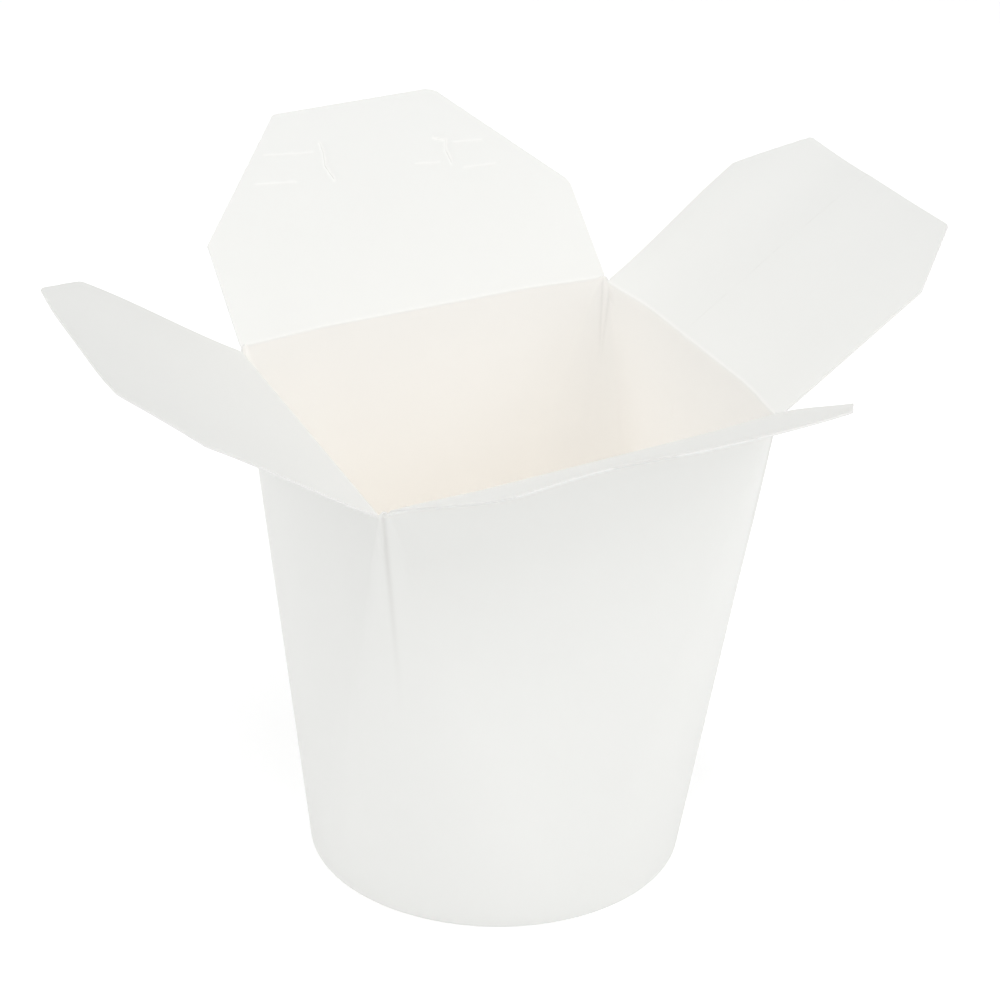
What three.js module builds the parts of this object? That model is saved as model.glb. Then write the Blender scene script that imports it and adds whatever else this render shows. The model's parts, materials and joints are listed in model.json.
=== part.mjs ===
// A noodle takeaway box of folded white paperboard: a tub with a square mouth, a round base
// and four lid flaps that stand open. Millimetres, +Z up, origin at the centre of the underside.

import * as THREE from 'three';

// The board, and the clearance where two pieces meet.
const BOARD = 0.45;
const CLEARANCE = 0.35;

// The tub. Its mouth is square in plan, but the box has been opened out and stands a little out
// of true, so the four corners are not level.
const MOUTH_SIDE = 95;
const MOUTH_CORNER_RADIUS = 2;
const MOUTH_CORNER_STEPS = 18;
const BASE_RADIUS = 45;
const BASE_SIDES = 96;
const CORNER_HEIGHTS = { frontRight: 124, frontLeft: 116, backLeft: 116, backRight: 120 };

// The folds. The side flaps close first, so their folds lie a little lower than the other two.
const SIDE_FOLD_DROP = 0.9;
const WALL_BELOW_FOLD = 0.33;
const FLAP_BEYOND_FOLD = 0.65;

// The flaps. The two side flaps fold down inside the mouth, so they are a little narrower than it.
// Each flap is given by half its width at the fold, how far out the cut at its inner corners
// ends, half its width from there to the shoulders, how far out the shoulders are, half the width
// of its tip, its length, and how far above level it stands, in degrees.
const FLAP_CORNER_RADIUS = 2.5;
const FLAP_CORNER_STEPS = 6;
const FLAPS = {
  back: { rootHalf: 46.9, rootCut: 1.4, half: 47.4, shoulder: 27.8, tipHalf: 21, length: 60, open: 39.3 },
  front: { rootHalf: 46.9, rootCut: 1.4, half: 47.4, shoulder: 40, tipHalf: 37.6, length: 60.5, open: 27.2 },
  left: { rootHalf: 45.2, rootCut: 2.2, half: 46.2, shoulder: 45, tipHalf: 29.8, length: 60.5, open: 29.6 },
  right: { rootHalf: 45.2, rootCut: 2.2, half: 46.4, shoulder: 42.7, tipHalf: 33, length: 59.6, open: 34.8 },
};

const BOARD_WHITE = 0xf1f1ee;
const BOARD_ROUGHNESS = 0.62;

function boardMesh(name, geometry) {
  const material = new THREE.MeshStandardMaterial({
    color: BOARD_WHITE,
    roughness: BOARD_ROUGHNESS,
    metalness: 0,
  });
  const mesh = new THREE.Mesh(geometry, material);
  mesh.name = name;
  return mesh;
}

// A corner of the mouth, on the side of the given signs of x and y.
function mouthCorner(sideX, sideY, height) {
  const reach = MOUTH_SIDE / 2;
  return new THREE.Vector3(sideX * reach, sideY * reach, height);
}

// A fold line from one corner to the next, clockwise seen from above. Along it, outward and
// upward are the three directions in which its flap is laid out.
function foldLine(from, to, drop) {
  const start = from.clone();
  const end = to.clone();
  start.z -= drop;
  end.z -= drop;
  const along = end.clone().sub(start).normalize();
  const outward = new THREE.Vector3(0, 0, 1).cross(along).normalize();
  const upward = along.clone().cross(outward);
  const middle = start.clone().lerp(end, 0.5);
  return { start, end, middle, along, outward, upward };
}

const corners = {
  frontRight: mouthCorner(1, -1, CORNER_HEIGHTS.frontRight),
  frontLeft: mouthCorner(-1, -1, CORNER_HEIGHTS.frontLeft),
  backLeft: mouthCorner(-1, 1, CORNER_HEIGHTS.backLeft),
  backRight: mouthCorner(1, 1, CORNER_HEIGHTS.backRight),
};

const folds = {
  front: foldLine(corners.frontRight, corners.frontLeft, 0),
  left: foldLine(corners.frontLeft, corners.backLeft, SIDE_FOLD_DROP),
  back: foldLine(corners.backLeft, corners.backRight, 0),
  right: foldLine(corners.backRight, corners.frontRight, SIDE_FOLD_DROP),
};

// The height of a fold line above or below a point of the plan.
function foldHeight(fold, x, y) {
  const run = new THREE.Vector2(fold.along.x, fold.along.y);
  const offset = new THREE.Vector2(x - fold.start.x, y - fold.start.y);
  return fold.start.z + (fold.along.z * offset.dot(run)) / run.lengthSq();
}

// The middle of the board round one rounded corner of the mouth, from the fold before it to the
// fold after it. Each point carries the direction that the wall faces there, and the number of
// the point of the base circle that faces the same way. Where a corner ends and where the next
// one starts, the wall faces the same way, so those two share one point of the base.
function cornerRim(before, after, firstFoot) {
  const turn = 1 + before.outward.dot(after.outward);
  const inset = before.outward.clone().add(after.outward).multiplyScalar(MOUTH_CORNER_RADIUS / turn);
  const centre = before.end.clone().sub(inset);
  const firstFacing = Math.atan2(before.outward.y, before.outward.x);
  const quarterTurn = before.outward.angleTo(after.outward);
  const points = [];
  for (let step = 0; step <= MOUTH_CORNER_STEPS; step += 1) {
    const share = step / MOUTH_CORNER_STEPS;
    const facing = firstFacing - quarterTurn * share;
    const x = centre.x + MOUTH_CORNER_RADIUS * Math.cos(facing);
    const y = centre.y + MOUTH_CORNER_RADIUS * Math.sin(facing);
    const height = THREE.MathUtils.lerp(foldHeight(before, x, y), foldHeight(after, x, y), share);
    const foot = (firstFoot + step) % (4 * MOUTH_CORNER_STEPS);
    points.push({ x, y, z: height - WALL_BELOW_FOLD, facing, foot });
  }
  return points;
}

// The wall is one sheet rolled from the square mouth to the round base. A straight line of the
// sheet joins each point of the rim to the point of the base circle that faces the same way, so
// the four sides are flat and the corners are parts of cones.
function cupWall() {
  const order = [folds.front, folds.left, folds.back, folds.right];
  const rim = order.flatMap((fold, index) => (
    cornerRim(fold, order[(index + 1) % order.length], index * MOUTH_CORNER_STEPS)
  ));
  const positions = [];
  const addPoint = (x, y, z) => positions.push(x, y, z) / 3 - 1;

  // One face of the board, half a board's thickness out from its middle or in from it.
  const boardFace = (offset) => {
    const radius = BASE_RADIUS - BOARD / 2 + offset;
    const tops = [];
    const feet = [];
    for (const { x, y, z, facing, foot } of rim) {
      tops.push(addPoint(x + offset * Math.cos(facing), y + offset * Math.sin(facing), z));
      feet[foot] ??= addPoint(radius * Math.cos(facing), radius * Math.sin(facing), 0);
    }
    return { tops, feet };
  };
  const outer = boardFace(BOARD / 2);
  const inner = boardFace(-BOARD / 2);

  // Two triangles, of which one falls away where two neighbouring corner points are the same.
  const indices = [];
  const addQuad = (a, b, c, d) => {
    if (a !== b) indices.push(a, b, c);
    if (c !== d) indices.push(a, c, d);
  };
  rim.forEach(({ foot }, index) => {
    const next = (index + 1) % rim.length;
    const nextFoot = rim[next].foot;
    addQuad(outer.feet[nextFoot], outer.feet[foot], outer.tops[index], outer.tops[next]);
    addQuad(inner.feet[foot], inner.feet[nextFoot], inner.tops[next], inner.tops[index]);
    addQuad(outer.tops[next], outer.tops[index], inner.tops[index], inner.tops[next]);
    if (foot !== nextFoot) {
      addQuad(outer.feet[foot], outer.feet[nextFoot], inner.feet[nextFoot], inner.feet[foot]);
    }
  });

  const geometry = new THREE.BufferGeometry();
  geometry.setAttribute('position', new THREE.Float32BufferAttribute(positions, 3));
  geometry.setIndex(indices);
  geometry.computeVertexNormals();
  return boardMesh('cup_wall', geometry);
}

// The floor is a flat disc, level with the foot of the wall.
function baseDisc() {
  const radius = BASE_RADIUS - BOARD - CLEARANCE;
  const disc = boardMesh('base_disc', new THREE.CylinderGeometry(radius, radius, BOARD, BASE_SIDES));
  disc.rotation.x = Math.PI / 2;
  disc.position.z = BOARD / 2;
  return disc;
}

// A closed outline through points given as x, y and the radius that rounds the corner off.
function roundedOutline(points) {
  const corner = points.map(([x, y]) => new THREE.Vector2(x, y));
  const shape = new THREE.Shape();
  points.forEach(([, , radius], index) => {
    const point = corner[index];
    const before = corner[(index + points.length - 1) % points.length];
    const after = corner[(index + 1) % points.length];
    const toBefore = before.clone().sub(point).normalize();
    const toAfter = after.clone().sub(point).normalize();
    const halfAngle = Math.acos(toBefore.dot(toAfter)) / 2;
    const trim = radius / Math.tan(halfAngle);
    const entry = point.clone().addScaledVector(toBefore, trim);
    const exit = point.clone().addScaledVector(toAfter, trim);
    if (index === 0) {
      shape.moveTo(entry.x, entry.y);
    } else {
      shape.lineTo(entry.x, entry.y);
    }
    if (radius > 0) {
      shape.quadraticCurveTo(point.x, point.y, exit.x, exit.y);
    }
  });
  shape.closePath();
  return shape;
}

// A flap is a flat plate that starts just outside its fold, wide as far as its shoulders and
// narrowing from there to its tip.
function lidFlap(side) {
  const flap = FLAPS[side];
  const fold = folds[side];
  const halfOutline = [
    [flap.rootHalf, FLAP_BEYOND_FOLD, 0],
    [flap.half, flap.rootCut, 0],
    [flap.half, flap.shoulder, FLAP_CORNER_RADIUS],
    [flap.tipHalf, flap.length, FLAP_CORNER_RADIUS],
  ];
  const outline = roundedOutline([
    ...halfOutline,
    ...halfOutline.toReversed().map(([across, out, radius]) => [-across, out, radius]),
  ]);
  const geometry = new THREE.ExtrudeGeometry(outline, {
    depth: BOARD,
    bevelEnabled: false,
    curveSegments: FLAP_CORNER_STEPS,
  });
  geometry.translate(0, 0, -BOARD / 2);

  // The hinge group lies level, square to its fold, and the plate is tilted up inside it.
  const hinge = new THREE.Group();
  const directions = new THREE.Matrix4().makeBasis(fold.along, fold.outward, fold.upward);
  hinge.quaternion.setFromRotationMatrix(directions);
  hinge.position.copy(fold.middle);
  const plate = boardMesh(`flap_${side}`, geometry);
  plate.rotation.x = THREE.MathUtils.degToRad(flap.open);
  hinge.add(plate);
  return hinge;
}

const box = new THREE.Group();
box.add(cupWall());
box.add(baseDisc());
for (const side of Object.keys(FLAPS)) {
  box.add(lidFlap(side));
}

export default box;
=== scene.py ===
# %% [markdown]
# # A noodle takeaway box of folded white paperboard
# The box is a tub with a square mouth and a round base, and four lid flaps that stand open.
# On the real box the tub and the flaps are one blank of board, cut, creased, rolled and glued,
# and the base is a second piece. Here each flap is a piece of its own, because it turns about
# its fold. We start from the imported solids, which fix every size and every fold.

# %% Load the fixed frame
import json
import math

import bpy
import numpy as np
from mathutils import Matrix, Vector


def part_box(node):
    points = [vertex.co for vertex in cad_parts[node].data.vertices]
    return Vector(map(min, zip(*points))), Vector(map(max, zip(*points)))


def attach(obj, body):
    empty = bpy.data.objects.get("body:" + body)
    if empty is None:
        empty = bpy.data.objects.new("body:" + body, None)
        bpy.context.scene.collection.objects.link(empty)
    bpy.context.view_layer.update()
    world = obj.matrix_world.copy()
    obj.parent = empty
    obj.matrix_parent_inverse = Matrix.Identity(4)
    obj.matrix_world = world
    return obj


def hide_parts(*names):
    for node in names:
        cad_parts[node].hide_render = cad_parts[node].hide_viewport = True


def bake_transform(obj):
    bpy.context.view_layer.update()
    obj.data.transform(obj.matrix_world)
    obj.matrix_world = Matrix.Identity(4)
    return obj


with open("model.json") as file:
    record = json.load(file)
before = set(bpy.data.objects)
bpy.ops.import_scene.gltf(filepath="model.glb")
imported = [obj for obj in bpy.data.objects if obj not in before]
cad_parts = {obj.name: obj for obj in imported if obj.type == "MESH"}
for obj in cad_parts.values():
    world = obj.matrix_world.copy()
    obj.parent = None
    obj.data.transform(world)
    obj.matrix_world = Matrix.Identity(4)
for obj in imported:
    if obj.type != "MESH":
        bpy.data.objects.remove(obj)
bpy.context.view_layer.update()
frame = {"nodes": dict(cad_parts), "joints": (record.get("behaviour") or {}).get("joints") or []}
print("solids:", sorted(frame["nodes"]))

# %% [markdown]
# The sizes. The mouth and the folds come from the joints of the frame, and the base from its
# disc. What is left is the board itself, measured in millimetres and turned into metres once.

# %% Driving sizes
MM = 0.001
BOARD = 0.45 * MM
DISC_CLEARANCE = 0.35 * MM
WALL_BELOW_FOLD = 0.33 * MM
RIM_RADIUS = 2.0 * MM
BASE_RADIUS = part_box("base_disc")[1].x + DISC_CLEARANCE + BOARD
SIDES = ("front", "left", "back", "right")


class Fold:
    """One fold line: its middle, and the directions along it, out from the box and up."""

    def __init__(self, side):
        joint = next(j for j in frame["joints"] if j["name"] == f"{side}_fold")
        self.body = joint["child"]
        self.middle = Vector(joint["pos_m"])
        self.along = Vector(joint["axis"]).normalized()
        self.outward = Vector((0, 0, 1)).cross(self.along).normalized()
        self.upward = self.along.cross(self.outward)

    def height(self, x, y):
        """The height of the fold line above or below a point of the plan."""
        run = self.along.x**2 + self.along.y**2
        way = (x - self.middle.x) * self.along.x + (y - self.middle.y) * self.along.y
        return self.middle.z + self.along.z * way / run

    def place(self):
        """The matrix that lays a flat flap, drawn on the XY plane, along this fold."""
        turn = Matrix((self.along, self.outward, self.upward)).transposed()
        return Matrix.Translation(self.middle) @ turn.to_4x4()


folds = {side: Fold(side) for side in SIDES}
MOUTH_HALF = folds["right"].middle.x
print(f"mouth {2 * MOUTH_HALF / MM:.1f} mm, base radius {BASE_RADIUS / MM:.1f} mm")

# %% [markdown]
# Small helpers. An operator acts on all that is selected, so every step says first what it
# works on. `pick` selects vertices, edges or faces by a test on their places.


# %% Selecting by a test
def deselect_all():
    """Leaves nothing selected, so that the next operator acts on the new piece alone."""
    if bpy.context.mode != "OBJECT":
        bpy.ops.object.mode_set(mode="OBJECT")
    bpy.ops.object.select_all(action="DESELECT")


def activate(piece):
    """Makes a piece the only one selected."""
    deselect_all()
    piece.select_set(True)
    bpy.context.view_layer.objects.active = piece


def middle_of(mesh, part):
    """The middle of an edge or a face, or a vertex's own place."""
    if hasattr(part, "co"):
        return part.co
    places = [mesh.vertices[i].co for i in part.vertices]
    return sum(places, Vector()) / len(places)


def pick(piece, mode, test):
    """Selects, in edit mode, the parts of a mesh that pass a test; mode is VERT, EDGE or FACE."""
    activate(piece)
    bpy.ops.object.mode_set(mode="EDIT")
    bpy.ops.mesh.select_mode(type=mode)
    bpy.ops.mesh.select_all(action="DESELECT")
    bpy.ops.object.mode_set(mode="OBJECT")
    mesh = piece.data
    parts = {"VERT": mesh.vertices, "EDGE": mesh.edges, "FACE": mesh.polygons}[mode]
    for part in parts:
        part.select = bool(test(middle_of(mesh, part), part))
    bpy.ops.object.mode_set(mode="EDIT")


# %% [markdown]
# `points` and `set_points` move a mesh's vertices by a rule, as a sculpting hand would. Most
# rules are made of two shapes: `bell`, a ridge along a line, and `ease`, a smooth step.


# %% Moving by a rule
def points(piece):
    """The places of a mesh's vertices, one row each."""
    places = np.empty(len(piece.data.vertices) * 3)
    piece.data.vertices.foreach_get("co", places)
    return places.reshape(-1, 3)


def set_points(piece, places):
    """Puts a mesh's vertices where the rows say."""
    piece.data.vertices.foreach_set("co", np.ascontiguousarray(places).ravel())
    piece.data.update()


def apply_all(piece):
    """Applies every modifier of a piece."""
    activate(piece)
    for modifier in list(piece.modifiers):
        bpy.ops.object.modifier_apply(modifier=modifier.name)


def bell(distance, width):
    """1 on a line, falling to nothing a few widths away from it."""
    return np.exp(-((distance / width) ** 2))


def ease(value, start, end):
    """0 before start, 1 after end, and a smooth step in between; start may be the larger."""
    share = np.clip((value - start) / (end - start), 0, 1)
    return share * share * (3 - 2 * share)


def report(piece):
    """Prints what a finished piece measures."""
    low, high = points(piece).min(0), points(piece).max(0)
    size = " x ".join(f"{s / MM:.1f}" for s in high - low)
    print(f"{piece.name}: {len(piece.data.polygons)} faces, {size} mm")


# %% [markdown]
# ## Materials
# Shader maths reads best as sums, so a small class wraps a node's socket and lets + - * work
# on it. `Finish.node` makes any other node from its type, its settings and its inputs. Noise
# reads the piece's own coordinates, so a pattern stays on its board when a flap turns.

# %% A socket that does sums
NOISE_ROUGHNESS = 0.6


class Wire:
    """The output of a node, on which + - and * add Math nodes."""

    def __init__(self, finish, socket):
        self.finish = finish
        self.socket = socket

    def sum(self, operation, first, second):
        return self.finish.node("ShaderNodeMath", {"operation": operation}, {0: first, 1: second})

    def __add__(self, other):
        return self.sum("ADD", self, other)

    __radd__ = __add__

    def __sub__(self, other):
        return self.sum("SUBTRACT", self, other)

    def __rsub__(self, other):
        return self.sum("SUBTRACT", other, self)

    def __mul__(self, other):
        return self.sum("MULTIPLY", self, other)

    __rmul__ = __mul__


class Finish:
    """A material, and its nodes as they are made."""

    def __init__(self, name):
        self.material = bpy.data.materials.new(name)
        self.material.use_nodes = True
        self.tree = self.material.node_tree
        self.shader = self.tree.nodes["Principled BSDF"]
        self.place = self.node("ShaderNodeTexCoord", out="Object")

    def node(self, kind, settings=None, inputs=None, out=0):
        """Adds a node: its settings first, then the values or wires of its sockets."""
        made = self.tree.nodes.new(kind)
        for name, value in (settings or {}).items():
            setattr(made, name, value)
        for name, value in (inputs or {}).items():
            self.connect(made, name, value)
        return Wire(self, made.outputs[out])

    def connect(self, made, name, value):
        """Sets a socket of a node to a value, or leads a wire to it."""
        if isinstance(value, Wire):
            self.tree.links.new(value.socket, made.inputs[name])
        else:
            made.inputs[name].default_value = value

    def set(self, name, value):
        """Sets a socket of the material's own shader."""
        self.connect(self.shader, name, value)

    def painted(self, name):
        """What `paint` keeps on a piece's vertices, or 0 where it keeps nothing."""
        return self.node("ShaderNodeAttribute", {"attribute_name": name}, out="Fac")

    def noise(self, waves, detail=3.0):
        """Cloudy noise from 0 to 1, of so many waves to the metre."""
        sockets = {"Vector": self.place, "Scale": waves, "Detail": detail, "Roughness": NOISE_ROUGHNESS}
        return self.node("ShaderNodeTexNoise", {}, sockets, out="Fac")

    def mix(self, share, first, second):
        """A colour between two, by share."""
        sockets = {"Factor": share, 6: first, 7: second}
        return self.node("ShaderNodeMix", {"data_type": "RGBA"}, sockets, out=2)

    def bump(self, height, depth):
        """A normal that follows a height from 0 to 1, so many metres deep."""
        return self.node("ShaderNodeBump", {}, {"Height": height, "Distance": depth, "Strength": 1.0})


# %% [markdown]
# ### Board
# The board is bleached kraft with a thin clay coat. Three things show from a step away: cloudy
# unevenness of the white, a fine felt of fibres under the coat, and a gloss that is a little
# uneven too. Some marks are painted on the vertices instead, because they follow the pieces:
# whiter lines where the coat has cracked along a crease, which on the fold's ridge and the slits
# are also a painted highlight; a painted shade where a groove or a raw edge holds a thin shade;
# and a painted glow, a faint emission that stands for light coming through the thin board and
# for light that the bright tub throws on the roots of the flaps. It is kept to those places.

# %% A board finish
CLOUD_WAVES = 22.0
FIBRE_WAVES = 2600.0
FELT_WAVES = 900.0
FELT_DEPTH = 0.012 * MM
CLOUD_SHARE = 0.7
CLOUD_SHADE = 0.02
GLOSS_SPREAD = 0.16
BOARD_SPECULAR = 0.35
# One white for worn coat and painted highlights, and one grey for painted shade in grooves.
WEAR_AND_HIGHLIGHT_WHITE = (0.83, 0.828, 0.81, 1)
GROOVE_SHADE = (0.58, 0.57, 0.55, 1)


def board_finish(name, white, roughness, glow=None):
    """Paperboard of a white, with its gloss, and its least and its most glow if it has any."""
    shade = [value - CLOUD_SHADE for value in white]
    finish = Finish(name)
    clouds = finish.noise(CLOUD_WAVES) * CLOUD_SHARE
    fibres = finish.noise(FIBRE_WAVES, detail=2.0) * (1 - CLOUD_SHARE)
    colour = finish.mix(clouds + fibres, (*white, 1), (*shade, 1))
    # Whiter lines: worn coat and a painted highlight. Darker lines: a painted shade.
    colour = finish.mix(finish.painted("wear_and_highlight"), colour, WEAR_AND_HIGHLIGHT_WHITE)
    colour = finish.mix(finish.painted("shaded"), colour, GROOVE_SHADE)
    finish.set("Base Color", colour)
    finish.set("Roughness", finish.noise(FELT_WAVES) * GLOSS_SPREAD + (roughness - GLOSS_SPREAD / 2))
    finish.set("Normal", finish.bump(finish.noise(FELT_WAVES, detail=4.0), FELT_DEPTH))
    finish.set("Specular IOR Level", BOARD_SPECULAR)
    # Painted light: the glow is an emission, though the board is no lamp.
    if glow:
        least, most = glow
        finish.set("Emission Color", finish.mix(finish.painted("glow"), (*least, 1), (*most, 1)))
        finish.set("Emission Strength", 1.0)
    return finish.material


# %% [markdown]
# The outside, the inside and the cut edges are the same stuff with other whites. The tub's
# inside is warm, and its white is lighter than the same face of board on a flap, as painted
# light; a flap's inside and the cut edges are darker, as painted shade. The tub's painted glow
# grows with depth. A flap's inside has a little painted glow near its fold, and what stands
# below the fold goes on with the tub's lighter white.

# %% The board's finishes
# Lit and shaded copies of one board: the tub's inside is painted lighter, a flap's inside and the cut
# edges darker.
LIT_TUB_WHITE = (0.897, 0.880, 0.850)
RIM_GLOW = (0.029, 0.038, 0.047)
DEEP_GLOW = (0.090, 0.083, 0.073)
FLAP_GLOW = (0.050, 0.048, 0.042)
NO_GLOW = (0.0, 0.0, 0.0)
INSIDE = board_finish("tub_inside", LIT_TUB_WHITE, 0.58, glow=(RIM_GLOW, DEEP_GLOW))
TUB_RIM = board_finish("tub_rim", LIT_TUB_WHITE, 0.58, glow=(RIM_GLOW, RIM_GLOW))
OUTSIDE = board_finish("outside", (0.781, 0.784, 0.765), 0.52)
SHADED_FLAP_INSIDE = board_finish("shaded_flap_inside", (0.736, 0.739, 0.723), 0.58, glow=(NO_GLOW, FLAP_GLOW))
SHADED_CUT_EDGE = board_finish("shaded_cut_edge", (0.725, 0.722, 0.706), 0.85)

TUB_FINISHES = (INSIDE, OUTSIDE, SHADED_CUT_EDGE)
FLAP_FINISHES = (SHADED_FLAP_INSIDE, OUTSIDE, SHADED_CUT_EDGE, TUB_RIM)
INNER_FACE, OUTER_FACE, CUT_FACE, ROOT_FACE = range(4)
print("board finishes:", [finish.name for finish in (*TUB_FINISHES, SHADED_FLAP_INSIDE, TUB_RIM)])

# %% [markdown]
# ### From a sheet to board
# Every board starts as a sheet with no thickness, which is easy to crease and to bow. Solidify
# then gives it two faces and cut edges, and takes a finish for each of the three.


# %% Thickness and paint
def give_thickness(sheet, finishes):
    """Turns a sheet that faces inwards into board, with its inside, outside and cut edges."""
    for finish in finishes:
        sheet.data.materials.append(finish)
    board = sheet.modifiers.new("board", "SOLIDIFY")
    board.thickness = BOARD
    board.offset = 0
    board.use_even_offset = True
    board.material_offset = OUTER_FACE
    board.material_offset_rim = CUT_FACE
    apply_all(sheet)


def paint(piece, name, amount):
    """Keeps a number from 0 to 1 on each vertex, where the finishes read it by its name."""
    painted = piece.data.attributes.new(name, "FLOAT", "POINT")
    painted.data.foreach_set("value", np.ascontiguousarray(amount, dtype=np.float32))


def touches(piece, kind):
    """Which vertices belong to faces of one kind: 1 there, 0 elsewhere."""
    found = np.zeros(len(piece.data.vertices))
    for face in piece.data.polygons:
        if face.material_index == kind:
            found[list(face.vertices)] = 1
    return found


# %% [markdown]
# ## The tub's wall
# One sheet, rolled from the square mouth to the round base: the four sides are flat triangles
# and the corners between them are quarters of cones. A loft or a shrinkwrap would only come
# near that, so we draw it as a paper engineer does. A circle is the foot. Its edges are pulled
# up to the mouth, and there each quarter of the ring is shrunk to a small arc and moved out to
# its corner of the square. The straight lines in between are the sheet.

# %% Foot, and the ring pulled up to the mouth
CORNER_COLUMNS = 72
SIDE_COLUMNS = 32
WALL_ROWS = 80
foot_radius = BASE_RADIUS - BOARD / 2
column_count = 4 * (CORNER_COLUMNS + 1)

deselect_all()
bpy.ops.mesh.primitive_circle_add(
    vertices=column_count, radius=foot_radius, rotation=(0, 0, math.pi / column_count)
)
wall = bpy.context.object
wall.name = wall.data.name = "tub_wall"
bpy.ops.object.transform_apply(rotation=True)
pick(wall, "EDGE", lambda place, edge: True)
bpy.ops.mesh.extrude_edges_move(TRANSFORM_OT_translate={"value": (0, 0, folds["front"].middle.z)})
bpy.ops.object.mode_set(mode="OBJECT")
print("foot and ring:", len(wall.data.vertices), "vertices")

# %% [markdown]
# The ring is still as wide as the foot all the way up. Its upper edge becomes the mouth, a
# square whose corners are bent about as tightly as the board allows.

# %% Each quarter of the ring goes out to its corner
CORNER_START = MOUTH_HALF - RIM_RADIUS

shrink = RIM_RADIUS / foot_radius
for across in (-1, 1):
    for deep in (-1, 1):
        pick(wall, "VERT", lambda p, v: p.z > 0 and p.x * across > 0 and p.y * deep > 0)
        bpy.ops.transform.resize(value=(shrink, shrink, 1), center_override=(0, 0, 0))
        bpy.ops.transform.translate(value=(across * CORNER_START, deep * CORNER_START, 0))
print(f"corner arcs: {RIM_RADIUS / MM:.1f} mm, {shrink:.3f} of the foot's radius")

# %% [markdown]
# The box has been opened out and its corners are not level, and the side folds lie a little
# lower than the front and back ones. So the ring's heights come from the fold lines. Round a
# corner, one fold's height passes over into the next one's, and the board rises a little past
# the folds, because the cuts between the flaps end just short of them.

# %% The ring takes the heights of the folds
CORNER_RISE = 1.3 * MM


def rim_height(x, y):
    """The height of the wall's rim above or below a point of the plan."""
    turn = math.atan2(max(abs(y) - CORNER_START, 0), max(abs(x) - CORNER_START, 0))
    share = turn / (math.pi / 2)
    side_height = folds["right" if x > 0 else "left"].height(x, y)
    end_height = folds["back" if y > 0 else "front"].height(x, y)
    rise = CORNER_RISE * 4 * share * (1 - share)
    return side_height * (1 - share) + end_height * share - WALL_BELOW_FOLD + rise


activate(wall)
places = points(wall)
for row in places:
    if row[2] > 0:
        row[2] = rim_height(row[0], row[1])
set_points(wall, places)
print(f"rim from {places[places[:, 2] > 0, 2].min() / MM:.1f} to {places[:, 2].max() / MM:.1f} mm")

# %% [markdown]
# The sheet needs more columns on its flat sides and rows all round before it can be scored and
# bowed. The edges that cross an axis at the middle of a side are cut up first, which adds the
# columns, and then every edge that stands up is.

# %% Columns on the flat sides, and rows all round
NEAR = 0.01 * MM


def crosses_axis(place, edge):
    """Whether an edge lies across the middle of a side."""
    return min(abs(place.x), abs(place.y)) < NEAR


def stands_up(place, edge):
    """Whether an edge runs from the foot to the mouth."""
    first, last = (wall.data.vertices[i].co for i in edge.vertices)
    return abs(first.z - last.z) > MOUTH_HALF


pick(wall, "EDGE", crosses_axis)
bpy.ops.mesh.subdivide(number_cuts=SIDE_COLUMNS - 1)
pick(wall, "EDGE", stands_up)
bpy.ops.mesh.subdivide(number_cuts=WALL_ROWS - 1)
deselect_all()
print("wall sheet:", len(wall.data.polygons), "faces")

# %% [markdown]
# ### Side seam
# The blank's two ends overlap on the right side. Each end shows as a step on one face, and the
# other sheet closes up to it over a finger's width. We cut two columns close together for each
# step, so that the step is sharp.

# %% Columns for the steps of the seam
SEAM_AT_FOLD = -7.8 * MM
SEAM_LEAN = 0.034
LAP = 11.0 * MM
STEP_WIDTH = 0.08 * MM
RIGHT_SIDE = 0.8 * foot_radius
right_fold = folds["right"]


def seam_distance(places):
    """How far points lie along the right fold past the inner step of the seam."""
    rest = places - np.array(right_fold.middle)
    along = rest @ np.array(right_fold.along)
    return along - (SEAM_AT_FOLD + SEAM_LEAN * rest[:, 2])


seam_direction = right_fold.along - SEAM_LEAN * Vector((0, 0, 1))
for offset in (-STEP_WIDTH, 0, LAP - STEP_WIDTH, LAP):
    pick(wall, "FACE", lambda p, f: p.x > RIGHT_SIDE and abs(p.y) < CORNER_START)
    start = right_fold.middle + right_fold.along * (SEAM_AT_FOLD + offset)
    bpy.ops.mesh.bisect(plane_co=start, plane_no=seam_direction)
deselect_all()
print("with the seam's columns:", len(wall.data.polygons), "faces")

# %% [markdown]
# ### Corner scores
# Two scores run down from each corner of the mouth. They start as far apart as the corner is
# round, close up on each other, and fade where the cone takes over. A score is pressed from
# outside, so both faces move in: a groove outside, a bead inside.

# %% Press the scores into the sheet
SCORE_DEPTH = 0.16 * MM
SCORE_WIDTH = 0.34 * MM
SCORE_HALF_GAP = 1.1 * MM
SCORE_END_GAP = 0.35 * MM
SCORE_SHIFT = 0.9 * MM
SCORE_CLOSING = 18.0 * MM
SCORE_FADE = (6.0 * MM, 25.0 * MM)
HIGHEST_FOLD = max(fold.middle.z for fold in folds.values())


def corner_frame(places):
    """The direction out through each point's nearest corner, and how far beside it the point is."""
    facing = np.arctan2(places[:, 1], places[:, 0])
    corner_facing = (np.floor(facing / (np.pi / 2)) + 0.5) * (np.pi / 2)
    turn = np.array([np.cos(corner_facing), np.sin(corner_facing)])
    across = places[:, 1] * turn[0] - places[:, 0] * turn[1]
    return turn, across


def on_scores(places):
    """1 on the two scores of each corner, and nothing away from them and below them."""
    across = corner_frame(places)[1]
    across = across + SCORE_SHIFT * np.sign(places[:, 0] * places[:, 1])
    below = HIGHEST_FOLD - places[:, 2]
    opening = 1 - np.clip(below / SCORE_CLOSING, 0, 1)
    gap = SCORE_END_GAP + (SCORE_HALF_GAP - SCORE_END_GAP) * opening
    return bell(np.abs(across) - gap, SCORE_WIDTH) * ease(below, *reversed(SCORE_FADE))


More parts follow.
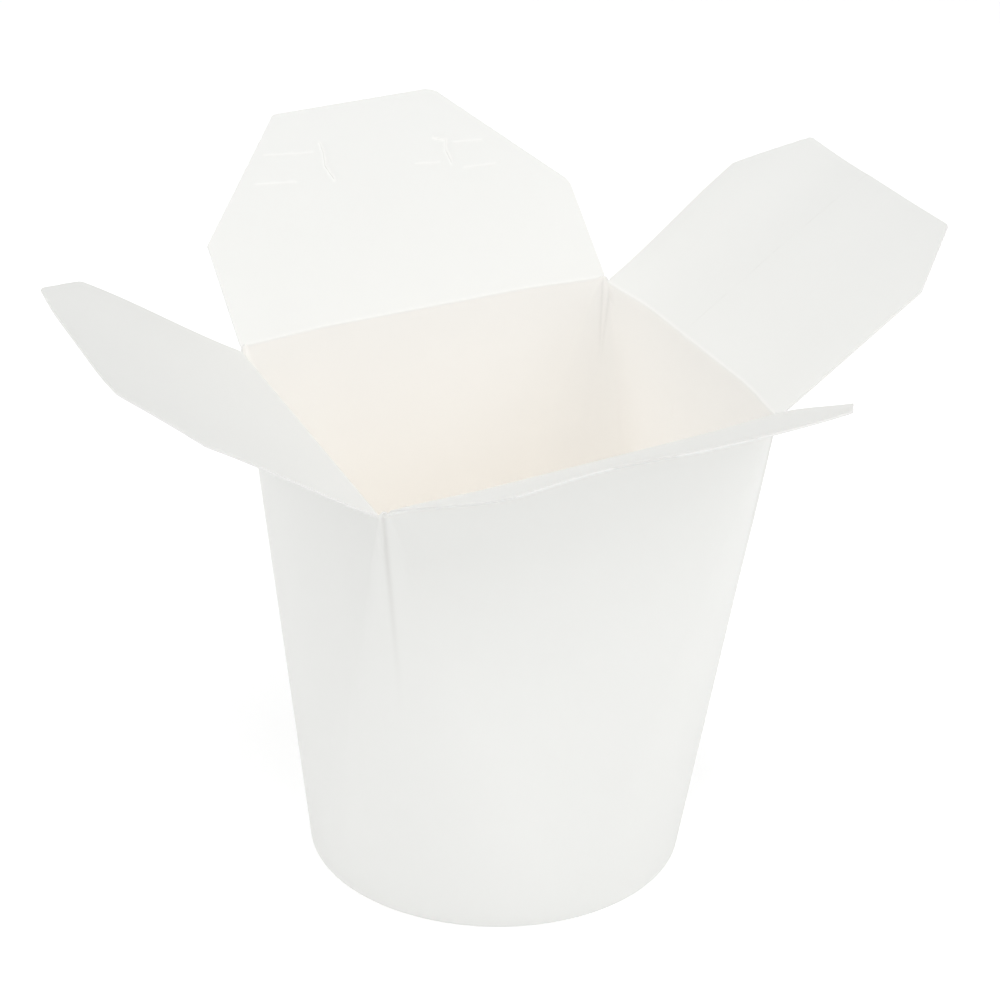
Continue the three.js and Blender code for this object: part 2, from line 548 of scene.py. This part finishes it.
def press_scores(places):
    """Moves the sheet's points in along the two scores of each corner."""
    turn = corner_frame(places)[0]
    depth = SCORE_DEPTH * on_scores(places)
    inward = -np.column_stack([turn[0], turn[1], np.zeros(len(places))])
    return places + inward * depth[:, None]


places = points(wall)
print(f"deepest score: {SCORE_DEPTH * on_scores(places).max() / MM:.2f} mm")
set_points(wall, press_scores(places))

# %% [markdown]
# ### Thickness, and the steps of the seam
# The sheet gets its thickness now. The faces that look into the box take the inner finish, the
# others the outer one, and the rim and the foot are cut edges. Then the inner face rises to its
# step, and the outer face to its own, and the foot is set flat on the table.

# %% Wall thickness and seam steps
SEAM_STEP = 0.25 * MM
SEAM_FADE = 20.0 * MM

activate(wall)
bpy.ops.object.mode_set(mode="EDIT")
bpy.ops.mesh.select_all(action="SELECT")
bpy.ops.mesh.normals_make_consistent(inside=True)
bpy.ops.object.mode_set(mode="OBJECT")
give_thickness(wall, TUB_FINISHES)


def step_up(past):
    """0 before a raw edge of the seam, 1 just after it, and falling again over the lap."""
    return np.clip(past / STEP_WIDTH + 1, 0, 1) * ease(past, SEAM_FADE, 0)


def seam_lift(past, outer):
    """How far each face of the board rises, by how far it lies past the inner raw edge."""
    return SEAM_STEP * (outer * step_up(past - LAP) + (1 - outer) * step_up(past))


places = points(wall)
outer = touches(wall, OUTER_FACE)
on_side = (places[:, 0] > RIGHT_SIDE) * (np.abs(places[:, 1]) < CORNER_START)
places[:, 0] += seam_lift(seam_distance(places), outer) * (2 * outer - 1) * on_side
places[:, 2] = np.maximum(places[:, 2], 0)
set_points(wall, places)
print("wall board:", len(wall.data.polygons), "faces")

# %% [markdown]
# ### Shade and glow of the wall
# The scores are too fine for light alone to draw them, so their grooves get a little paint: on
# the inside the two scores, on the outside the one crease that they close up to, further down.
# The painted glow, an emission for light that comes through the board, grows from the rim to a few
# fingers down and then stays.

# %% Painted lines and glow
SCORE_SHADE = 0.25
CREASE_SHADE = 0.42
CREASE_SHADE_WIDTH = 0.7 * MM
CREASE_SHADE_FADE = (10.0 * MM, 62.0 * MM)
GLOW_DEPTH = 50.0 * MM

below = HIGHEST_FOLD - places[:, 2]
crease = bell(corner_frame(places)[1], CREASE_SHADE_WIDTH) * ease(below, *reversed(CREASE_SHADE_FADE))
shade = (1 - outer) * SCORE_SHADE * on_scores(places) + outer * CREASE_SHADE * crease
paint(wall, "shaded", shade * (1 - touches(wall, CUT_FACE)))
# Painted light: a glow that grows with depth.
paint(wall, "glow", np.clip(below / GLOW_DEPTH, 0, 1))
print(f"deepest shade of the wall: {shade.max():.2f}")

# %% [markdown]
# ### The bow of the mouth
# The opened flaps pull the back and the right side of the mouth out between their corners. The
# wall and its flap are moved by one rule of place, so that the fold between them stays closed,
# and the bow dies away down the wall and along the flap.

# %% Bow the wall, and finish it
BOWS = {"back": 2.0 * MM, "right": 2.0 * MM}
BOW_CORNER = 24.0 * MM
BOW_REACH = 45.0 * MM
BOARD_SMOOTH = math.radians(25)


def bow(places):
    """Moves points out with the bowed sides of the mouth."""
    for side, amount in BOWS.items():
        fold = folds[side]
        rest = places - np.array(fold.middle)
        along, out, up = (rest @ np.array(way) for way in (fold.along, fold.outward, fold.upward))
        share = ease(np.abs(along), MOUTH_HALF, MOUTH_HALF - BOW_CORNER)
        share = share * ease(np.hypot(out, up), BOW_REACH, 0)
        places = places + amount * share[:, None] * np.array(fold.outward)
    return places


set_points(wall, bow(places))
activate(wall)
bpy.ops.object.shade_smooth_by_angle(angle=BOARD_SMOOTH)
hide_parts("cup_wall")
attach(wall, "tub")
report(wall)

# %% [markdown]
# ## The base
# A disc of the same board closes the tub. Real bases have their edge folded down and pressed to
# the wall, which leaves the middle a little up. We inset a disc to get the ring of the fold and
# press the middle up by less than the board's thickness.

# %% Base disc with its pressed ring
RING_WIDTH = 6.0 * MM
RING_RISE = 0.18 * MM
BASE_STEPS = 192
DISC_INSET = 0.6 * BOARD

deselect_all()
bpy.ops.mesh.primitive_cylinder_add(
    vertices=BASE_STEPS,
    radius=BASE_RADIUS - DISC_INSET,
    depth=BOARD,
    location=(0, 0, BOARD / 2),
)
base = bpy.context.object
base.name = base.data.name = "tub_base"
bpy.ops.object.transform_apply(location=True)
for face_side in (-1, 1):
    pick(base, "FACE", lambda p, f: f.normal.z * face_side > 0.9)
    bpy.ops.mesh.inset(thickness=RING_WIDTH - RING_RISE)
    bpy.ops.mesh.inset(thickness=2 * RING_RISE)
    bpy.ops.transform.translate(value=(0, 0, RING_RISE))
    bpy.ops.mesh.inset(thickness=RING_WIDTH)

# %% [markdown]
# The underside of the disc is the outside of the box. Its upper face is the floor of the tub,
# which lies deepest and has the full painted glow.

# %% Finish of the base
BASE_SMOOTH = math.radians(40)

activate(base)
for finish in TUB_FINISHES:
    base.data.materials.append(finish)
for face in base.data.polygons:
    face.material_index = OUTER_FACE if face.normal.z < -0.5 else INNER_FACE
paint(base, "glow", np.ones(len(base.data.vertices)))
bpy.ops.object.shade_smooth_by_angle(angle=BASE_SMOOTH)
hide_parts("base_disc")
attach(base, "tub")
report(base)

# %% [markdown]
# ## The lid flaps
# Each flap is drawn flat on the XY plane, as the die cuts it: X runs along the fold and Y out
# from it. A grid of small squares is trimmed to the outline by bisecting it along each edge,
# and a rounded corner is a fan of such cuts. The grid stays fine, so that the flap can be
# creased and bowed afterwards.

# %% Trimming to an outline
CORNER_CUTS = 6
GRID_STEP = 0.6 * MM


class Corner:
    """A corner of a flap's outline: how far across, how far out, and how round, in millimetres."""

    def __init__(self, across, out, radius):
        self.at = Vector((across * MM, out * MM, 0))
        self.radius = radius * MM


def trim(point, facing):
    """Cuts away what lies beyond a line, in edit mode."""
    bpy.ops.mesh.select_all(action="SELECT")
    bpy.ops.mesh.bisect(plane_co=point, plane_no=facing, clear_outer=True)


def trim_to(piece, corners):
    """Trims a flat piece to a convex outline, given as its corners in turn, anticlockwise."""
    activate(piece)
    bpy.ops.object.mode_set(mode="EDIT")
    facings = []
    for here, there in zip(corners, corners[1:]):
        way = (there.at - here.at).normalized()
        facings.append(Vector((way.y, -way.x, 0)))
        trim(here.at, facings[-1])
    for corner, before, after in zip(corners[1:-1], facings, facings[1:]):
        if corner.radius:
            centre = corner.at - (before + after) * (corner.radius / (1 + before.dot(after)))
            for step in range(1, CORNER_CUTS):
                facing = before.slerp(after, step / CORNER_CUTS)
                trim(centre + facing * corner.radius, facing)
    bpy.ops.object.mode_set(mode="OBJECT")


# %% [markdown]
# The four outlines, in millimetres. A flap is as wide as its fold at the root, opens out past
# the small cut at each inner corner, keeps its width up to the shoulders and narrows from there
# to the tip. The side flaps tuck inside the mouth, so they are narrower, and the front flap
# keeps a wide tip for its lock. `open` is how far the flap stands above level, in degrees.

# %% Sizes of the four flaps
FLAP_SIZES = {
    "back": dict(root=47.3, cut=1.4, half=47.4, shoulder=27.8, tip=21, length=60, open=39.3),
    "front": dict(root=47.3, cut=1.4, half=47.4, shoulder=40, tip=37.6, length=60.5, open=27.2),
    "left": dict(root=46.0, cut=2.2, half=46.2, shoulder=45, tip=29.8, length=60.5, open=29.6),
    "right": dict(root=46.2, cut=2.2, half=46.4, shoulder=42.7, tip=33, length=59.6, open=34.8),
}
ROOT_OUT = 0.65
CORNER_ROUND = (2.5, 2.5)
BACK_CORNER_ROUND = (5.5, 1.8)


def flap_outline(side):
    """The corners of a flap, anticlockwise from the right-hand end of its fold."""
    sizes = FLAP_SIZES[side]
    half_outline = (
        (sizes["root"], ROOT_OUT, False),
        (sizes["half"], sizes["cut"], False),
        (sizes["half"], sizes["shoulder"], True),
        (sizes["tip"], sizes["length"], True),
    )
    right_round, left_round = BACK_CORNER_ROUND if side == "back" else CORNER_ROUND
    right = [Corner(across, out, right_round * is_round) for across, out, is_round in half_outline]
    left = [Corner(-across, out, left_round * is_round) for across, out, is_round in half_outline]
    return right + left[::-1]


# %% [markdown]
# ### The crease
# The board turns round the fold in a small arc and runs down to meet the wall. The root edge of
# the flat flap is spun round the centre of that arc, and its last edge is pulled down.

# %% Flat flap with its crease
CREASE_RADIUS = 0.42 * MM
CREASE_STEPS = 8
SAME_PLACE = 0.001 * MM


def crease_turn(side):
    """How far the board turns over the fold, and how far out the crease's arc starts."""
    turn = math.radians(90 - FLAP_SIZES[side]["open"])
    return turn, CREASE_RADIUS * math.tan(turn / 2)


def flat_flap(side):
    """A flat sheet of board, drawn on the XY plane and trimmed to its outline."""
    tangent = crease_turn(side)[1]
    length = FLAP_SIZES[side]["length"] * MM
    width = 2 * FLAP_SIZES[side]["half"] * MM
    deselect_all()
    bpy.ops.mesh.primitive_grid_add(
        x_subdivisions=round(width / GRID_STEP),
        y_subdivisions=round(length / GRID_STEP),
        size=1,
    )
    flap = bpy.context.object
    flap.name = flap.data.name = f"{side}_flap_board"
    flap.scale = (width, length - tangent, 1)
    flap.location = (0, (length + tangent) / 2, 0)
    bpy.ops.object.transform_apply(location=True, scale=True)
    trim_to(flap, flap_outline(side))
    return flap


def turn_crease(flap, side):
    """Turns the root of a flat flap down over the fold, to where the wall starts."""
    turn, tangent = crease_turn(side)
    pick(flap, "EDGE", lambda p, e: p.y < tangent + NEAR)
    bpy.ops.mesh.spin(
        steps=CREASE_STEPS, angle=-turn, center=(0, tangent, -CREASE_RADIUS), axis=(1, 0, 0)
    )
    down = Vector((0, -math.cos(turn), -math.sin(turn))) * (WALL_BELOW_FOLD - tangent)
    bpy.ops.mesh.extrude_edges_move(TRANSFORM_OT_translate={"value": down})
    bpy.ops.mesh.select_all(action="SELECT")
    bpy.ops.mesh.remove_doubles(threshold=SAME_PLACE)
    bpy.ops.mesh.normals_make_consistent(inside=False)
    bpy.ops.object.mode_set(mode="OBJECT")


# %% [markdown]
# ### Lines drawn into the board
# Press marks and the seam are narrower than the grid's squares. So the grid gets edges along
# each of them first, by bisecting only the faces that the line crosses.


# %% Lines on a flat flap
class Line:
    """A straight line on a flat flap, from one place to another, in millimetres."""

    def __init__(self, start, end):
        self.start = Vector((*start, 0)) * MM
        self.end = Vector((*end, 0)) * MM
        self.length = (self.end - self.start).length
        self.way = (self.end - self.start).normalized()
        self.across = Vector((-self.way.y, self.way.x, 0))

    def measure(self, places):
        """How far points lie along the line, and how far to its left."""
        rest = places[:, :2] - np.array(self.start)[:2]
        return rest @ np.array(self.way)[:2], rest @ np.array(self.across)[:2]

    def distance(self, places):
        """How far points lie from the line, or from its nearer end."""
        along, left = self.measure(places)
        return np.hypot(along - np.clip(along, 0, self.length), left)

    def beside(self, places, width):
        """1 on the line, falling over a width to its left, and nothing elsewhere."""
        along, left = self.measure(places)
        return (left > 0) * (along > 0) * (along < self.length) * bell(left, width)

    def crosses(self, place, offset):
        """Whether the line, moved to its left by an offset, may cross the face at a place."""
        along, left = self.measure(np.array([place]))
        near = abs(left[0] - offset) < 2 * GRID_STEP
        return near and -GRID_STEP < along[0] < self.length + GRID_STEP


def draw(flap, line, offsets):
    """Adds edges along a line, and beside it at some offsets."""
    for offset in offsets:
        pick(flap, "FACE", lambda place, face: line.crosses(place, offset))
        bpy.ops.mesh.bisect(plane_co=line.start + line.across * offset, plane_no=line.across)
    deselect_all()


# %% [markdown]
# A slit goes through the board. A hair-thin blade is extruded along the slit's path and made
# thick, and a boolean takes it out of the flap. The faces it leaves are cut edges.

# %% Slits
SLIT_WIDTH = 0.03 * MM
BLADE_DEPTH = 8 * BOARD


def cut_slit(flap, path):
    """Cuts a slit along a path of places across and out, from its far end to its near one."""
    corners = [Vector((*place, 0)) * MM for place in path]
    deselect_all()
    bpy.ops.mesh.primitive_plane_add(size=SLIT_WIDTH, location=corners[0])
    blade = bpy.context.object
    bpy.ops.object.transform_apply(location=True)
    pick(blade, "EDGE", lambda p, e: p.y < corners[0].y - 0.4 * SLIT_WIDTH)
    for here, there in zip(corners, corners[1:]):
        bpy.ops.mesh.extrude_edges_move(TRANSFORM_OT_translate={"value": there - here})
    bpy.ops.mesh.select_all(action="SELECT")
    bpy.ops.mesh.normals_make_consistent(inside=False)
    bpy.ops.object.mode_set(mode="OBJECT")
    block = blade.modifiers.new("block", "SOLIDIFY")
    block.thickness = BLADE_DEPTH
    block.offset = 0
    apply_all(blade)
    for finish in FLAP_FINISHES:
        blade.data.materials.append(finish)
    for face in blade.data.polygons:
        face.material_index = CUT_FACE
    slit = flap.modifiers.new("slit", "BOOLEAN")
    slit.operation = "DIFFERENCE"
    slit.solver = "EXACT"
    slit.object = blade
    apply_all(flap)
    bpy.data.objects.remove(blade)


# %% [markdown]
# ### What the press leaves
# The back flap has two slits for the front flap's lock. Each was pressed in with small creases
# at its ends, and one lip of it stands a little proud. The front flap's tip has two short cuts,
# with the lock's tongue between them. The seam of the tub runs on over the right flap.

# %% Where the marks lie
BACK_SLITS = (
    ((-11.8, 50.1), (-11.8, 47.2), (-12.5, 43.5), (-11.3, 39.2)),
    ((16.7, 46.1), (19.8, 44.8), (18.9, 42.0), (19.3, 38.1)),
)
BACK_CREASES = (
    Line((-26.5, 49.2), (-14.5, 47.8)),
    Line((21.8, 43.9), (28.7, 43.3)),
    Line((-30.9, 41.8), (-20.9, 40.5)),
    Line((10.3, 39.8), (16.2, 39.0)),
    Line((22.0, 36.4), (30.2, 36.0)),
)
TONGUE_HALF = 15.5
TONGUE_CUTS = tuple(((across, 61.5), (across, 54.0)) for across in (-TONGUE_HALF, TONGUE_HALF))
SLITS = {"back": BACK_SLITS, "front": TONGUE_CUTS}
slit_lines = [Line(start, end) for path in BACK_SLITS for start, end in zip(path, path[1:])]

SEAM_END = 62
seam_start = SEAM_AT_FOLD / MM
seam_line = Line((seam_start, 0), (seam_start + SEAM_LEAN * SEAM_END, SEAM_END))

CREASE_WIDTH = 0.30 * MM
CREASE_EDGES = (-CREASE_WIDTH, 0, CREASE_WIDTH)
SEAM_EDGES = (3 * STEP_WIDTH, STEP_WIDTH, 0, -2 * STEP_WIDTH, STEP_WIDTH - LAP, -LAP)
DRAWN_LINES = {
    "back": [(crease, CREASE_EDGES) for crease in BACK_CREASES],
    "right": [(seam_line, SEAM_EDGES)],
}
print("slits:", len(BACK_SLITS), "creases:", len(BACK_CREASES), "tongue cuts:", len(TONGUE_CUTS))

# %% [markdown]
# The creases stand up from the inner face as low beads, and so does the lip on the right of
# each slit. On the right flap both faces rise to the raw edges of the seam, as on the wall.

# %% Relief of the marks
CREASE_BEAD = 0.10 * MM
LIP_LIFT = 0.12 * MM
LIP_REACH = 2.2 * MM


def inward(places, side):
    """The direction that the inner face looks in, round the crease and over the flat."""
    turn, tangent = crease_turn(side)
    angle = np.arctan2(np.maximum(tangent - places[:, 1], 0), places[:, 2] + CREASE_RADIUS)
    angle = np.clip(angle, 0, turn)
    return np.column_stack([np.zeros(len(places)), -np.sin(angle), np.cos(angle)])


def pressed(flap, side):
    """Where a flat flap's points lie once its marks, or the seam's raw edges, are raised."""
    places = points(flap)
    if side == "back":
        for crease in BACK_CREASES:
            places[:, 2] += CREASE_BEAD * bell(crease.distance(places), CREASE_WIDTH)
        for line in slit_lines:
            places[:, 2] += LIP_LIFT * line.beside(places, LIP_REACH)
    if side == "right":
        outer = touches(flap, OUTER_FACE)
        past = -seam_line.measure(places)[1]
        lift = seam_lift(past, outer) * (1 - 2 * outer)
        places += inward(places, side) * lift[:, None]
    return places


# %% [markdown]
# ### Paint of the flaps
# The clay coat cracks where the board is bent or cut, and white fibres show. So the coat is worn
# along the fold, the creases and the slits, and on the fold's ridge and the slits the same whiter
# lines are also a painted highlight.

# %% Worn lines
RIDGE_WIDTH = 0.6 * MM
RIDGE_WHITE = 0.30
CREASE_WHITE = 0.45
SLIT_WHITE = 0.8


def wear_and_highlight_lines(places, side):
    """How much whiter the fold, the creases and the slits are: worn coat, and a painted highlight on
    the ridge and the slits.
    """
    # The fold's ridge is whiter as a painted highlight, besides the worn coat.
    wear_and_highlight = RIDGE_WHITE * bell(np.maximum(places[:, 1], 0), RIDGE_WIDTH)
    if side == "back":
        for crease in BACK_CREASES:
            wear_and_highlight = np.maximum(wear_and_highlight, CREASE_WHITE * bell(crease.distance(places), CREASE_WIDTH))
        for line in slit_lines:
            wear_and_highlight = np.maximum(wear_and_highlight, SLIT_WHITE * bell(line.distance(places), CREASE_WIDTH))
    return wear_and_highlight


# %% [markdown]
# A thin shade lies beside the slits and along the raw edge of the seam. One stretch of the
# tongue's edge is shaded too, which takes less than to bend it out of the light.

# %% Shaded lines
SLIT_SHADE = 0.08
SLIT_SHADE_WIDTH = 1.2 * MM
SEAM_SHADE = 0.38
SEAM_SHADE_WIDTH = 0.14 * MM
TONGUE_SHADE = 0.5
TONGUE_SHADE_ENDS = (2.0 * MM, 16.0 * MM)
TONGUE_SHADE_BLUR = 0.5 * MM
TIP_EDGE = (59.8 * MM, 60.4 * MM)


def shaded_lines(places, side):
    """The shade beside the slits, along the seam's raw edge and on the tongue's edge."""
    shade = np.zeros(len(places))
    if side == "back":
        for line in slit_lines:
            shade = np.maximum(shade, SLIT_SHADE * line.beside(places, SLIT_SHADE_WIDTH))
    if side == "front":
        across, out = places[:, 0], places[:, 1]
        start, end = TONGUE_SHADE_ENDS
        stretch = ease(across, start - TONGUE_SHADE_BLUR, start + TONGUE_SHADE_BLUR)
        stretch = stretch * ease(across, end + TONGUE_SHADE_BLUR, end - TONGUE_SHADE_BLUR)
        shade = TONGUE_SHADE * stretch * ease(out, *TIP_EDGE)
    if side == "right":
        shade = SEAM_SHADE * bell(seam_line.measure(places)[1], SEAM_SHADE_WIDTH)
    return shade


# %% [markdown]
# The painted glow, for light that the bright tub throws on the flap, is strongest at the fold and
# dies away along the flap. What stands below the fold looks like a part of the tub, so it takes
# the finish of the tub's rim.

# %% Glow, and the finish of the root
GLOW_REACH = {"front": 150 * MM, "left": 60 * MM, "back": 60 * MM, "right": 60 * MM}
ROOT_END = -0.12 * MM


def mark(flap, side):
    """Paints a flat flap, and gives what stands below its fold the finish of the tub."""
    places = points(flap)
    paint(flap, "wear_and_highlight", wear_and_highlight_lines(places, side))
    paint(flap, "shaded", shaded_lines(places, side))
    # Painted light: a glow from the fold out along the flap.
    paint(flap, "glow", 1 - np.clip(places[:, 1] / GLOW_REACH[side], 0, 1))
    for face in flap.data.polygons:
        if face.material_index == INNER_FACE and middle_of(flap.data, face).y < ROOT_END:
            face.material_index = ROOT_FACE


# %% [markdown]
# ### How each flap has warped
# Board that was folded flat and opened again isn't plane. The side flaps have their long edges
# curled up. The front flap's edges are curled near the fold and flat again at the tip, and its
# tip lies in a shallow wave. The warp starts past the crease, so that the hinge stays straight.

# %% Warp
WARPS = {
    "front": {"right": 0.85 * MM, "left": 0.75 * MM, "grown": 8 * MM},
    "left": {"right": 1.7 * MM, "left": 1.4 * MM, "grown": 42 * MM},
    "right": {"right": 0.4 * MM, "left": 2.2 * MM, "grown": 42 * MM},
    "back": {"right": 0.0, "left": 0.0, "grown": 42 * MM},
}
CREASE_END = 2.5 * MM
CURL_START = 14.0 * MM
CURL_END = 46.0 * MM
FRONT_CURL_FALL = {"right": 38.0 * MM, "left": 8.0 * MM}
FRONT_TIP = 60.0 * MM
WAVE_START = 28.0 * MM
TIP_WAVE = 0.65 * MM
TIP_SAG = 0.2 * MM


def warp(places, side):
    """Curls the side edges of a flat flap up, and lays the front flap's tip in a wave."""
    across, out = places[:, 0], places[:, 1]
    grown = ease(out, CREASE_END, WARPS[side]["grown"])
    for half, way in (("right", 1), ("left", -1)):
        lift = WARPS[side][half] * grown * ease(way * across, CURL_START, CURL_END)
        if side == "front":
            lift = lift * ease(out, FRONT_TIP, FRONT_CURL_FALL[half])
        places[:, 2] += lift
    if side == "front":
        wave = np.sin(np.pi * across / (FLAP_SIZES[side]["tip"] * MM))
        depth = TIP_WAVE * wave - TIP_SAG * (1 - wave**2)
        places[:, 2] += depth * ease(out, WAVE_START, FRONT_TIP)
    return places


# %% [markdown]
# ### Standing the flaps up
# A finished flat flap is tilted open, laid along its fold and bowed with the mouth.


def stand_flap(flap, side):
    """Tilts a flat flap open, lays it along its fold, and bows it with the mouth."""
    fold = folds[side]
    tilt = Matrix.Rotation(math.radians(FLAP_SIZES[side]["open"]), 4, "X")
    flap.data.transform(fold.place() @ tilt)
    set_points(flap, bow(points(flap)))
    activate(flap)
    bpy.ops.object.shade_smooth_by_angle(angle=BOARD_SMOOTH)
    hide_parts(f"flap_{side}")
    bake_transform(flap)
    report(flap)


for side in SIDES:
    flap = flat_flap(side)
    for line, offsets in DRAWN_LINES.get(side, ()):
        draw(flap, line, offsets)
    turn_crease(flap, side)
    give_thickness(flap, FLAP_FINISHES)
    for path in SLITS.get(side, ()):
        cut_slit(flap, path)
    mark(flap, side)
    set_points(flap, warp(pressed(flap, side), side))
    stand_flap(flap, side)

# %% [markdown]
# ## Table, light and camera
# A white table under large soft lights, with the room itself almost as bright: white board
# then shows its shape by small steps of shade. The table glows a little, so that it stays white
# up to the foot of the box.

# %% Table
TABLE_WHITE = 0.7
TABLE_GLOW = 0.40
TABLE_RADIUS = 6.0
TABLE_DROP = 0.2 * MM

deselect_all()
bpy.ops.mesh.primitive_circle_add(
    vertices=64, radius=TABLE_RADIUS, fill_type="NGON", location=(0, 0, -TABLE_DROP)
)
table = bpy.context.object
table.name = "table"
table_finish = Finish("white_table")
table_finish.set("Base Color", (TABLE_WHITE, TABLE_WHITE, TABLE_WHITE, 1))
table_finish.set("Roughness", 0.9)
table_finish.set("Specular IOR Level", 0.0)
table_finish.set("Emission Color", (1, 1, 1, 1))
table_finish.set("Emission Strength", TABLE_GLOW)
table.data.materials.append(table_finish.material)
print("table radius:", TABLE_RADIUS, "m")

# %% [markdown]
# The room is bright at the horizon, above and below it, and dimmer overhead, as a white tent is
# round a product. One Map Range node fades between the two by how steeply a ray goes.

# %% The room
HORIZON_LIGHT = 0.7
ZENITH_LIGHT = 0.23

room = bpy.data.worlds.new("room")
bpy.context.scene.world = room
room.use_nodes = True
tree = room.node_tree
sky = tree.nodes["Background"]
sky.inputs["Color"].default_value = (1, 1, 1, 1)
direction = tree.nodes.new("ShaderNodeTexCoord")
split = tree.nodes.new("ShaderNodeSeparateXYZ")
steepness = tree.nodes.new("ShaderNodeMath")
steepness.operation = "ABSOLUTE"
fall = tree.nodes.new("ShaderNodeMapRange")
fall.inputs["To Min"].default_value = HORIZON_LIGHT
fall.inputs["To Max"].default_value = ZENITH_LIGHT
tree.links.new(direction.outputs["Generated"], split.inputs[0])
tree.links.new(split.outputs["Z"], steepness.inputs[0])
tree.links.new(steepness.outputs[0], fall.inputs["Value"])
tree.links.new(fall.outputs["Result"], sky.inputs["Strength"])
print("room light:", HORIZON_LIGHT, "to", ZENITH_LIGHT)

# %% [markdown]
# Seven softboxes stand round the box and face it. Each is given by its azimuth and elevation in
# degrees and its power in watts. The strongest stands behind on the left and lights the inside
# of the tub, and the ones in front keep the two walls that show a shade apart.

# %% Softboxes
LAMP_DISTANCE = 1.5
LAMP_SIZE = 1.0
LAMP_AIM = Vector((0, 0, 0.1))
LAMPS = {
    "key": (10, 55, 6.4),
    "top": (0, 85, 4.1),
    "front": (-20, 15, 2.3),
    "left": (-80, 25, 1.0),
    "right": (80, 25, 1.9),
    "right_front": (45, 40, 3.65),
    "left_back": (-120, 50, 8.2),
}


def towards(azimuth, elevation):
    """The direction from the box to a place at an azimuth and an elevation in degrees."""
    around, above = math.radians(azimuth), math.radians(elevation)
    level = math.cos(above)
    return Vector((math.sin(around) * level, -math.cos(around) * level, math.sin(above)))


for name, (azimuth, elevation, power) in LAMPS.items():
    light = bpy.data.lights.new(name, "AREA")
    light.shape = "SQUARE"
    light.size = LAMP_SIZE
    light.energy = power
    lamp = bpy.data.objects.new(name, light)
    bpy.context.scene.collection.objects.link(lamp)
    back = towards(azimuth, elevation)
    lamp.location = LAMP_AIM + back * LAMP_DISTANCE
    lamp.rotation_mode = "QUATERNION"
    lamp.rotation_quaternion = back.to_track_quat("Z", "Y")
print("softboxes:", ", ".join(LAMPS))

# %% [markdown]
# The camera stands to the left of the front and above, near enough for the box to show a little
# perspective, and it is rolled by a degree. Its axes are worked out first, and then turned about
# the line of sight.

# %% Camera
CAMERA_AZIMUTH = -23.0
CAMERA_ELEVATION = 26.64
CAMERA_ROLL = math.radians(0.98)
CAMERA_DISTANCE = 824.28 * MM
CAMERA_LENS = 120.6
AIM_ACROSS = 0.09 * MM
AIM_UP = 79.68 * MM

back = towards(CAMERA_AZIMUTH, CAMERA_ELEVATION)
around = math.radians(CAMERA_AZIMUTH)
right = Vector((math.cos(around), math.sin(around), 0))
up = back.cross(right)
rolled_right = right * math.cos(CAMERA_ROLL) + up * math.sin(CAMERA_ROLL)
rolled_up = up * math.cos(CAMERA_ROLL) - right * math.sin(CAMERA_ROLL)
turn = Matrix((rolled_right, rolled_up, back)).transposed().to_4x4()

lens = bpy.data.cameras.new("camera")
lens.lens = CAMERA_LENS
camera = bpy.data.objects.new("camera", lens)
bpy.context.scene.collection.objects.link(camera)
place = right * AIM_ACROSS + up * AIM_UP + back * CAMERA_DISTANCE
camera.matrix_world = Matrix.Translation(place) @ turn
bpy.context.scene.camera = camera
bpy.context.scene.view_settings.view_transform = "Standard"
print("camera at", [round(c, 4) for c in place])
